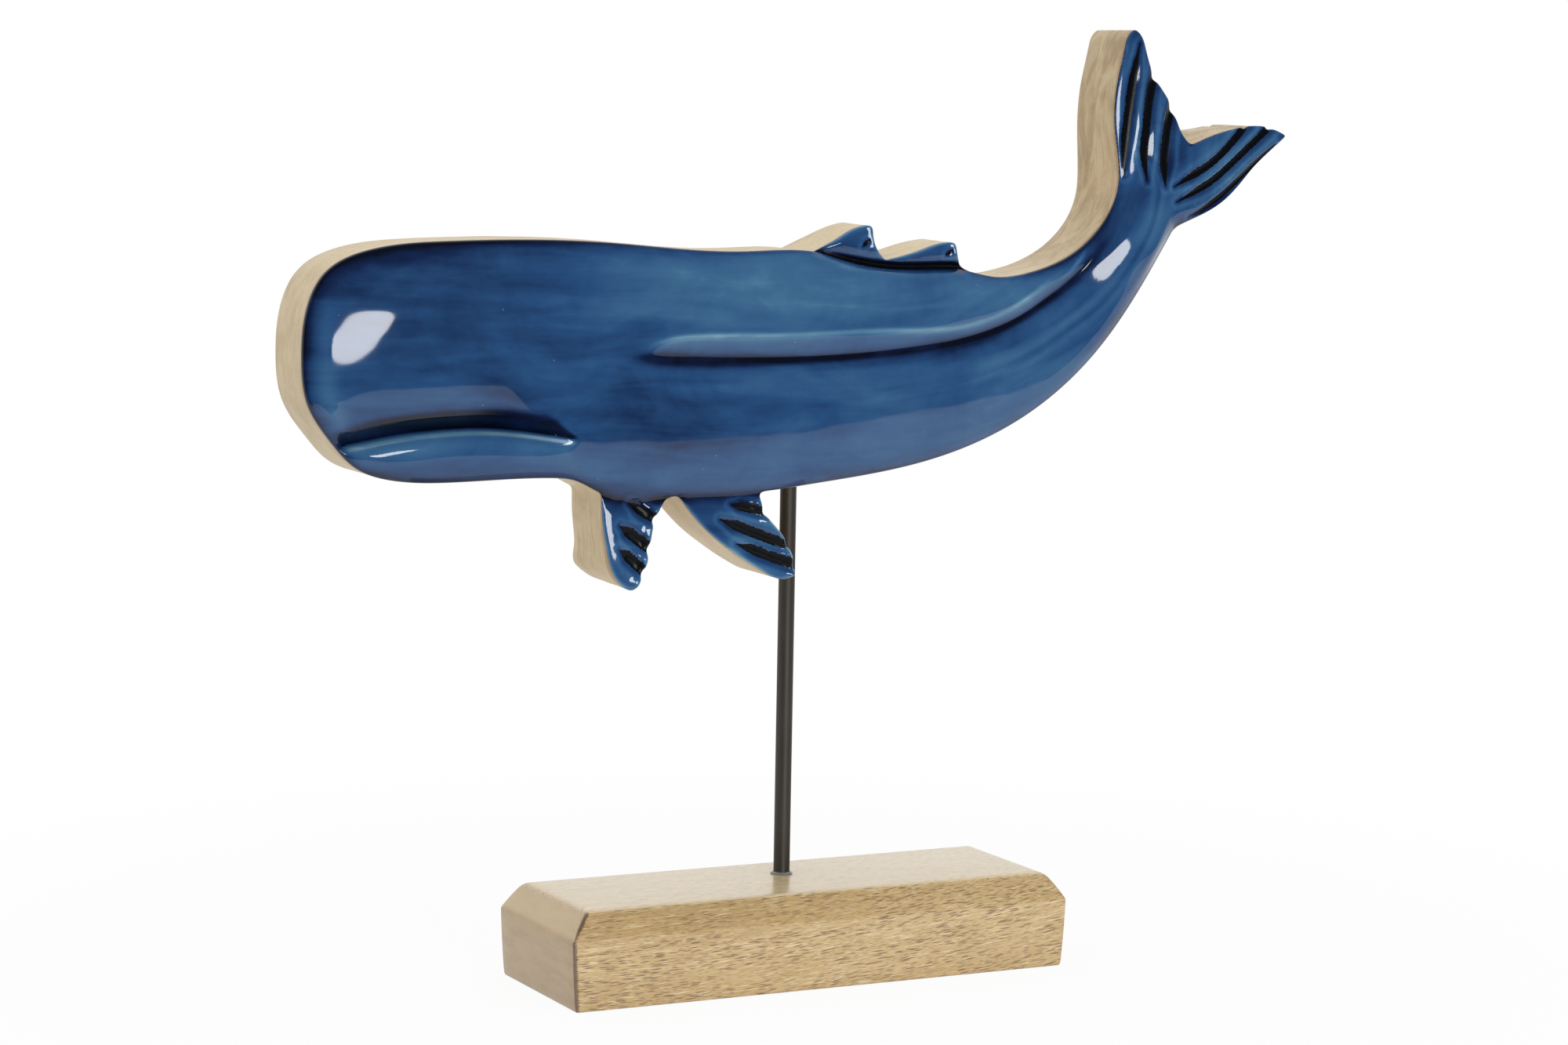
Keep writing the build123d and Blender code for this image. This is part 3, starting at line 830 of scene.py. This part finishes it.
def buildInk(node, rows, group, paint):
    # one piece per node, from one evaluated strip per carved line
    strips = []
    for number, (centre, width, depth, runsOut) in enumerate(rows):
        curve = bpy.data.curves.new("path", "CURVE")
        curve.dimensions = "3D"
        spline = curve.splines.new("POLY")
        spline.points.add(len(centre) - 1)
        run = np.concatenate([[0], np.cumsum(np.hypot(*np.diff(centre, axis=0).T))])
        taper = grooveTaper(run, run[-1], runsOut)
        radius = 0.5 * width * ink["share"] * (0.12 + 0.88 * taper) * mm
        ahead = np.gradient(centre, axis=0)
        ahead /= np.hypot(*ahead.T)[:, None]
        centre = centre + np.stack([-ahead[:, 1], ahead[:, 0]], axis=1) * (ink["offset"] * width * taper)[:, None]
        for point, (x, z), r in zip(spline.points, centre, radius):
            point.co = (x * mm, -0.03, z * mm, 1)
            point.radius = r
        holder = bpy.data.objects.new("path", curve)
        scene.collection.objects.link(holder)
        modifier = holder.modifiers.new("ink", "NODES")
        modifier.node_group = group
        for name, value in (("Surface", enamel), ("Along", int(run[-1] * ink["perMm"])), ("Across", ink["across"]),
                            ("Ragged", ink["ragged"]), ("Lift", ink["lift"] * mm), ("Seed", ink["seed"] + 3.7 * number),
                            ("Paint", paint)):
            modifier[socketId(group, name)] = value
        graph = bpy.context.evaluated_depsgraph_get()
        mesh = bpy.data.meshes.new_from_object(holder.evaluated_get(graph))
        strips.append(mesh)
        bpy.data.objects.remove(holder)
    bm = bmesh.new()
    for mesh in strips:
        bm.from_mesh(mesh)
    # turned to face the front before it gets its thickness
    for f in bm.faces:
        if f.normal.y > 0:
            f.normal_flip()
        f.smooth = True
    mesh = bpy.data.meshes.new(node)
    bm.to_mesh(mesh)
    bm.free()
    piece = bpy.data.objects.new(node, mesh)
    scene.collection.objects.link(piece)
    skin = piece.modifiers.new("skin", "SOLIDIFY")
    skin.thickness = ink["skin"] * mm
    skin.offset = -1
    graph = bpy.context.evaluated_depsgraph_get()
    solid = bpy.data.meshes.new_from_object(piece.evaluated_get(graph))
    piece.modifiers.clear()
    piece.data = solid
    solid.set_sharp_from_angle(angle=1.0)
    return piece


# wooden block, rod and bead

block = {
    "half": (100.0, 33.0), "corner": 0.7,
    "profile": [(2.3, 1.2, 0.0), (1.7, 0.6, 0.25), (1.45, 0.35, 0.9), (1.2, 0.3, 3), (0.75, 0.2, 9), (0.4, 0.1, 15),
                (0.15, 0, 21), (0, 0, 24.7), (0.1, 0.07, 25.2), (0.45, 0.32, 25.9), (1.25, 0.92, 27.2), (2.25, 1.65, 28.7),
                (3.3, 2.4, 30.2), (4.35, 3.15, 31.6), (5.45, 3.95, 33), (6.5, 4.8, 34), (7.6, 5.7, 34.6), (8.9, 6.8, 34.92),
                (10.4, 8.2, 35.0)],
}


def roundedRing(halfX, halfY, radius, perCorner=7):
    points = []
    sides = [((1, -1), -90), ((1, 1), 0), ((-1, 1), 90), ((-1, -1), 180)]
    for (sx, sy), start in sides:
        for i in range(perCorner):
            a = math.radians(start + 90 * i / (perCorner - 1))
            points.append((sx * (halfX - radius) + radius * math.cos(a), sy * (halfY - radius) + radius * math.sin(a)))
    # long and short sides are cut up evenly
    ring = []
    for i, p in enumerate(points):
        q = points[(i + 1) % len(points)]
        gap = math.dist(p, q)
        cuts = max(1, int(gap / 6))
        ring += [(p[0] + (q[0] - p[0]) * k / cuts, p[1] + (q[1] - p[1]) * k / cuts) for k in range(cuts)]
    return ring


def buildBlock():
    halfX, halfY = block["half"]
    bm = bmesh.new()
    rings = []
    base = roundedRing(halfX, halfY, block["corner"])
    for insetX, insetY, z in block["profile"]:
        scaleX, scaleY = (halfX - insetX) / halfX, (halfY - insetY) / halfY
        rings.append([bm.verts.new((x * scaleX * mm, y * scaleY * mm, z * mm)) for x, y in base])
    n = len(base)
    for low, high in zip(rings, rings[1:]):
        for i in range(n):
            bm.faces.new((low[i], low[(i + 1) % n], high[(i + 1) % n], high[i]))
    bm.faces.new(rings[0][::-1])
    count = 48
    bore = (rod["radius"] + 0.02) * mm
    mouth, floor = [], []
    for i in range(count):
        a = 2 * math.pi * i / count
        x, y = rod["x"] * mm + bore * math.cos(a), rod["y"] * mm + bore * math.sin(a)
        mouth.append(bm.verts.new((x, y, 0.035)))
        floor.append(bm.verts.new((x, y, rod["low"] * mm - 0.00005)))
    rim = [bm.edges.new((mouth[i], mouth[(i + 1) % count])) for i in range(count)]
    edge = [bm.edges.get((rings[-1][i], rings[-1][(i + 1) % n])) for i in range(n)]
    bmesh.ops.triangle_fill(bm, use_beauty=True, use_dissolve=False, edges=edge + rim)
    for i in range(count):
        bm.faces.new((mouth[i], mouth[(i + 1) % count], floor[(i + 1) % count], floor[i]))
    bm.faces.new(floor)
    bmesh.ops.recalc_face_normals(bm, faces=bm.faces)
    mesh = bpy.data.meshes.new("woodBlock")
    bm.to_mesh(mesh)
    bm.free()
    mesh.polygons.foreach_set("use_smooth", [True] * len(mesh.polygons))
    mesh.set_sharp_from_angle(angle=0.9)
    piece = bpy.data.objects.new("woodBlock", mesh)
    scene.collection.objects.link(piece)
    return piece


def lathe(name, profile, count):
    # profile of (radius, z) in mm turned about the rod's axis; a zero radius closes an end
    verts, faces, rings = [], [], []
    for radius, z in profile:
        if radius == 0:
            rings.append([len(verts)])
            verts.append((rod["x"] * mm, rod["y"] * mm, z * mm))
            continue
        ring = []
        for i in range(count):
            a = 2 * math.pi * i / count
            ring.append(len(verts))
            verts.append(((rod["x"] + radius * math.cos(a)) * mm, (rod["y"] + radius * math.sin(a)) * mm, z * mm))
        rings.append(ring)
    for low, high in zip(rings, rings[1:]):
        for i in range(count):
            j = (i + 1) % count
            if len(low) == 1:
                faces.append((low[0], high[j], high[i]))
            elif len(high) == 1:
                faces.append((low[i], low[j], high[0]))
            else:
                faces.append((low[i], low[j], high[j], high[i]))
    return makeMesh(name, verts, faces)


def buildRod():
    r = rod["radius"]
    rows = [(0, rod["low"]), (r - 0.4, rod["low"]), (r, rod["low"] + 0.4)]
    rows += [(r, z) for z in np.linspace(14, 206, 65)]
    rows += [(r, rod["high"] - 0.4), (r - 0.4, rod["high"]), (0, rod["high"])]
    return lathe("steelRod", rows, 64)


def buildBead():
    # bead of clear glue round the foot of the rod
    rows = [(3.0, 35.0), (4.3, 35.0), (4.25, 35.25), (4.0, 35.55), (3.6, 35.8), (3.25, 35.95), (3.0, 36.0)]
    bead = lathe("clearBead", rows, 48)
    bm = bmesh.new()
    bm.from_mesh(bead.data)
    ends = [e for e in bm.edges if e.is_boundary]
    bmesh.ops.bridge_loops(bm, edges=ends)
    for v in bm.verts:
        away = Vector((v.co.x - rod["x"] * mm, v.co.y - rod["y"] * mm))
        if away.length > 0.0031:
            push = 0.00025 * (noise.noise((away.normalized() * 2.2).to_3d()) - 0.35)
            v.co.x += away.normalized().x * push
            v.co.y += away.normalized().y * push
    bmesh.ops.recalc_face_normals(bm, faces=bm.faces)
    bm.to_mesh(bead.data)
    bm.free()
    return bead


# finishes

def enamelFinish():
    m = Maker("blueEnamel")
    along, across = m.attribute("along"), m.attribute("across")
    flow = m.add("ShaderNodeCombineXYZ", {}, {0: along / 46.0, 1: across / 6.5})
    brush = m.add("ShaderNodeCombineXYZ", {}, {0: along / 22.0, 1: across / 1.8})
    streaks = m.clouds(flow, 1.0, 3, 0.5, 0.5)
    hairs = m.clouds(brush, 1.0, 3, 0.6)
    patches = m.clouds(m.place((1000 / 42, 1000 / 40, 1000 / 24)), 1.0, 4, 0.55, 0.8)
    mottle = m.clouds(m.place((1000 / 4.5, 1000 / 4.5, 1000 / 4.5)), 1.0, 3, 0.6)
    tone = m.attribute("tone") + (streaks - 0.5) * 0.34 + (patches - 0.5) * 0.44 + (hairs - 0.5) * 0.04 \
        + (mottle - 0.5) * 0.08
    stops = [(0.0, tint(7, 13, 30)), (0.16, tint(17, 36, 74)), (0.38, tint(38, 76, 122)), (0.62, tint(62, 104, 143)),
             (0.82, tint(94, 136, 164)), (1.0, tint(150, 177, 196))]
    colour = m.add("ShaderNodeValToRGB", {"stops": stops}, {"Fac": tone})
    speck = m.add("ShaderNodeTexVoronoi", {}, {"Vector": m.place((1000 / 9, 1000 / 9, 1000 / 9)), "Scale": 1.0})
    colour = m.mix(speck.step(0.045, 0.02) * 0.3, colour, tint(150, 165, 180))
    bump = m.add("ShaderNodeBump", {}, {"Strength": 0.06, "Distance": 0.0006,
                                        "Height": m.clouds(m.place((1000 / 7, 1000 / 7, 1000 / 5)), 1.0, 2)})
    return m.finish(Base_Color=colour, Roughness=0.4 + 0.1 * mottle, Normal=bump, Specular_IOR_Level=0.0,
                    Coat_Weight=m.attribute("gloss"), Coat_Roughness=0.07, Coat_IOR=1.5)


def blackFinish():
    m = Maker("blackEnamel")
    mottle = m.clouds(m.place((1000 / 1.6, 1000 / 1.6, 1000 / 1.6)), 1.0, 4, 0.6)
    colour = m.mix(mottle, tint(4, 5, 8), tint(14, 17, 22))
    bump = m.add("ShaderNodeBump", {}, {"Strength": 0.08, "Distance": 0.0003, "Height": mottle})
    return m.finish(Base_Color=colour, Roughness=0.2 + 0.15 * mottle, Normal=bump, Specular_IOR_Level=0.14)


def endGrain(m, start=0.55, end=0.85):
    x, _, _ = m.split(m.add("ShaderNodeTexCoord", out="Normal"))
    return x.size().step(start, end)


def woodFinish(name, look):
    m = Maker(name)
    x, y, z = m.split(m.place())
    run = x + 100.0
    bent = z - run * run * look["bend"] - x * look["slope"]

    def grain(long, thick, shift=0.0):
        return m.add("ShaderNodeCombineXYZ", {}, {0: x / long + shift, 1: y / thick, 2: bent / thick})

    across = endGrain(m)
    broad = m.clouds(grain(150, 14), 1.0, 3, 0.55, 0.4)
    fibre = m.clouds(grain(22, 0.8), 1.0, 4, 0.7)
    pale = m.clouds(grain(9, 0.42, 31), 1.0, 3, 0.6)
    crowd = m.clouds(grain(30, 6, 5), 1.0, 2)
    blotch = m.clouds(m.place((1000 / 26, 1000 / 16, 1000 / 20)), 1.0, 3, 0.6)
    cell = m.add("ShaderNodeTexVoronoi", {}, {"Vector": grain(look["poreLong"], look["poreThick"]), "Scale": 1.0})
    finerGrain = grain(look["poreLong"] * 0.6, look["poreThick"] * 0.6, 9.0)
    finer = m.add("ShaderNodeTexVoronoi", {}, {"Vector": finerGrain, "Scale": 1.0})
    pores = (cell.step(0.4, 0.22) * crowd.step(0.32, 0.5)).high(finer.step(0.34, 0.18) * 0.75) * (1 - across * 0.9)
    tone = 0.5 + (broad - 0.5) * 0.8 + (fibre - 0.5) * 0.7
    stops = [(0.15, look["dark"]), (0.5, look["mid"]), (0.85, look["light"])]
    colour = m.add("ShaderNodeValToRGB", {"stops": stops}, {"Fac": tone})
    colour = m.mix(pale.step(0.5, 0.68) * (0.65 - across * 0.55), colour, look["straw"])
    colour = m.mix(pores * look["poreShow"], colour, look["pore"])
    colour = m.mix(across * look["endShow"], colour, look["end"])
    grey = m.clouds(m.add("ShaderNodeCombineXYZ", {}, {0: x / 60.0, 1: y / 16.0, 2: z / look["sawn"]}), 1.0, 4, 0.6)
    stain = across * grey.step(0.4, 0.75) * look["sawnShow"] + blotch.step(0.5, 0.75) * look["blotch"]
    colour = m.mix(stain, colour, look["endDark"])
    if "wall" in look:
        lines = m.clouds(m.add("ShaderNodeCombineXYZ", {}, {0: x / 4.0, 1: y / 0.9, 2: z / 15.0}), 1.0, 4, 0.65, 0.3)
        colour = m.mix(across * lines.step(0.5, 0.72) * 0.5, colour, look["wall"])
    if "edge" in look:
        # painted light: paler end band lit from above and a painted sheen on the top; deeper long band
        colour = m.mix(across * (z - 25.0).step(0.0, 2.0) * 0.5, colour, look["light"])
        colour = m.mix((1.0 - across) * (z - 24.5).step(0.0, 1.5) * (z - 34.6).step(0.0, -1.5) * 0.22, colour, look["dark"])
        colour = m.mix((z - 34.2).step(0.0, 0.7) * 0.4, colour, look["straw"])
        # darkened front left corner, which follows the slanted band upwards
        rise = (z - 26.0).high(0.0) / 8.0
        low = (1.0 - z / 25.0).high(0.0)
        gap = (run - rise * 6.6 - low * 1.4).size() + (y + 33.0 - rise * 4.8 - low * 0.35).size()
        colour = m.mix((gap - fibre * 1.6).step(0.9, -0.2) * 0.85, colour, look["edge"])
    if "tail" in look:
        knots = m.clouds(m.place((1000 / 12, 1000 / 9, 1000 / 22), (0, 0.5, 0)), 1.0, 4, 0.65, 0.8)
        colour = m.mix(x.step(70, 125) * (0.22 + 0.6 * knots.step(0.38, 0.68)), colour, look["tail"])
    if "rim" in look:
        # stain along the arris next to the enamel
        colour = m.mix((y + 8.0 - blotch * 1.5).step(1.6, 0.0) * 0.6, colour, look["rim"])
    bump = m.add("ShaderNodeBump", {}, {"Strength": 0.4, "Distance": 0.0002, "Height": fibre * 0.5 - pores})
    return m.finish(Base_Color=colour, Roughness=look["rough"] + 0.12 * fibre, Normal=bump, Coat_Weight=look["coat"],
                    Coat_Roughness=0.22)


blockLook = {
    "slope": 0.01, "bend": 0.0003, "poreLong": 6.6, "poreThick": 0.58, "poreShow": 0.85, "endShow": 0.8, "blotch": 0.08,
    "sawn": 3.0, "sawnShow": 0.6,
    "rough": 0.4, "coat": 1.0,
    "dark": tint(170, 137, 84), "mid": tint(194, 164, 112), "light": tint(210, 185, 137), "straw": tint(234, 217, 176),
    "pore": tint(112, 80, 46), "end": tint(172, 139, 83), "endDark": tint(148, 117, 70), "edge": tint(86, 57, 32),
}
whaleLook = {
    "slope": 0.02, "bend": 0.0, "poreLong": 6.0, "poreThick": 0.7, "poreShow": 0.25, "endShow": 0.4, "blotch": 0.35,
    "sawn": 12.0, "sawnShow": 0.35,
    "rough": 0.45, "coat": 0.15,
    "dark": tint(200, 171, 124), "mid": tint(223, 200, 157), "light": tint(235, 218, 182), "straw": tint(240, 227, 196),
    "pore": tint(150, 120, 82), "end": tint(226, 206, 168), "endDark": tint(172, 144, 106), "rim": tint(150, 112, 66),
    "tail": tint(166, 138, 98), "wall": tint(158, 128, 84),
}


def steelFinish():
    m = Maker("rodSteel")
    drawn = m.clouds(m.place((1000 / 0.8, 1000 / 0.8, 1000 / 45)), 1.0, 4, 0.6)
    haze = m.clouds(m.place((1000 / 6, 1000 / 6, 1000 / 16)), 1.0, 3)
    colour = m.mix(drawn * 0.7 + haze * 0.3, tint(45, 42, 39), tint(86, 81, 75))
    bump = m.add("ShaderNodeBump", {}, {"Strength": 0.12, "Distance": 0.0001, "Height": drawn})
    return m.finish(Base_Color=colour, Metallic=0.65, Roughness=0.42 + 0.14 * haze, Normal=bump)


def clearFinish():
    m = Maker("clearBead")
    cloud = m.clouds(m.place((1000 / 1.2, 1000 / 1.2, 1000 / 0.8)), 1.0, 3)
    bump = m.add("ShaderNodeBump", {}, {"Strength": 0.3, "Distance": 0.0002, "Height": cloud})
    return m.finish(Base_Color=m.mix(cloud, tint(214, 208, 196), tint(244, 242, 236)), Roughness=0.06 + 0.05 * cloud,
                    Normal=bump, Transmission_Weight=0.8, IOR=1.48)


wear(enamel, enamelFinish(), "whale", "blue_enamel", "blue_enamel")
wear(whaleWood, woodFinish("whaleWood", whaleLook), "whale", "whale_wood", "whale_body")
black = blackFinish()
inkGroup = makeInkGroup()
for node, rows in carved.items():
    piece = buildInk(node + ".paint", rows, inkGroup, black)
    wear(piece, black, "whale", "black_enamel", node)
    print(node, len(piece.data.polygons), "faces")
wear(buildBlock(), woodFinish("blockWood", blockLook), "stand", "block_wood", "base_block")
wear(buildRod(), steelFinish(), "stand", "rod_steel", "support_rod")
wear(buildBead(), clearFinish(), "stand", "clear_bead", "rod_foot_bead")
print("pieces done")


# floor, light and camera

view = {"azimuth": -26.98, "elevation": 6.62, "roll": 1.03, "distance": 1.4607, "target": (-0.0038, 0, 0.1662),
        "lens": 92.3}
stageLook = {"halfX": 0.9, "front": -0.36, "back": 0.9, "white": 0.86, "near": 0.93, "mirrored": 0.64}


def buildFloor():
    # a sheet that lies square to the camera
    s = stageLook
    a = math.radians(view["azimuth"])
    corners = [(-s["halfX"], s["front"]), (s["halfX"], s["front"]), (s["halfX"], s["back"]), (-s["halfX"], s["back"])]
    verts = [(x * math.cos(a) - y * math.sin(a), x * math.sin(a) + y * math.cos(a), 0) for x, y in corners]
    floor = makeMesh("floor", verts, [(0, 1, 2, 3)])
    m = Maker("floor")
    spot = m.add("ShaderNodeTexCoord", out="Object")
    far = m.add("ShaderNodeVectorMath", {"operation": "LENGTH"}, {0: spot}, out="Value").step(0.24, 0.5)
    shown = s["near"] + (1.0 - s["near"]) * far
    behind = m.ray("Is Glossy Ray").high(m.ray("Is Transmission Ray"))
    plain = m.add("ShaderNodeBsdfDiffuse", {}, {"Color": (s["white"], s["white"], s["white"], 1)})
    glow = m.add("ShaderNodeEmission", {}, {"Color": (1, 1, 1, 1), "Strength": 1.0})
    share = (m.ray("Is Camera Ray") * shown).high(behind * s["mirrored"])
    both = m.add("ShaderNodeMixShader", {}, {0: share, 1: plain, 2: glow})
    m.tree.links.new(both.socket, m.tree.nodes["Material Output"].inputs["Surface"])
    floor.data.materials.append(m.material)


def softbox(name, place, aim, size, power):
    lamp = bpy.data.lights.new(name, "AREA")
    lamp.shape = "ELLIPSE"
    lamp.size, lamp.size_y = size
    lamp.energy = power
    holder = bpy.data.objects.new(name, lamp)
    holder.location = place
    holder.rotation_euler = (Vector(aim) - Vector(place)).to_track_quat("-Z", "Y").to_euler()
    scene.collection.objects.link(holder)


def buildWorld():
    # the room is white behind and above, dim in front
    world = bpy.data.worlds.new("room")
    world.use_nodes = True
    scene.world = world
    m = Maker("room", world.node_tree)
    x, y, z = m.split(m.add("ShaderNodeTexCoord", out="Generated"))
    behind = y.step(-0.3, 0.35)
    above = z.step(0.0, 0.9)
    left = x.step(0.2, -0.9)
    shown = m.ray("Is Glossy Ray").high(m.ray("Is Transmission Ray"))
    soft = 0.36 + 0.62 * above + 0.16 * left
    mirrored = 0.05 + 0.95 * behind
    strength = soft + (mirrored - soft) * shown
    strength = strength + (1 - strength) * m.ray("Is Camera Ray")
    m.fill(m.tree.nodes["Background"], {"Color": (1, 1, 1, 1), "Strength": strength})


def buildCamera():
    a, e, r = (math.radians(view[key]) for key in ("azimuth", "elevation", "roll"))
    back = Vector((math.sin(a) * math.cos(e), -math.cos(a) * math.cos(e), math.sin(e)))
    right = Vector((math.cos(a), math.sin(a), 0))
    up = back.cross(right)
    right, up = math.cos(r) * right + math.sin(r) * up, math.cos(r) * up - math.sin(r) * right
    lens = bpy.data.cameras.new("camera")
    lens.lens = view["lens"]
    lens.sensor_width = 36
    lens.clip_start = 0.01
    camera = bpy.data.objects.new("camera", lens)
    turn = Matrix((right, up, back)).transposed().to_4x4()
    camera.matrix_world = Matrix.Translation(Vector(view["target"]) + back * view["distance"]) @ turn
    scene.collection.objects.link(camera)
    scene.camera = camera


buildFloor()
buildWorld()
keyLamp = {"place": (0.0, -1.5, 0.27), "aim": (0, 0, 0.2), "size": (0.56, 0.46), "power": 8.5}
softbox("key", **keyLamp)
buildCamera()
print("stage done")
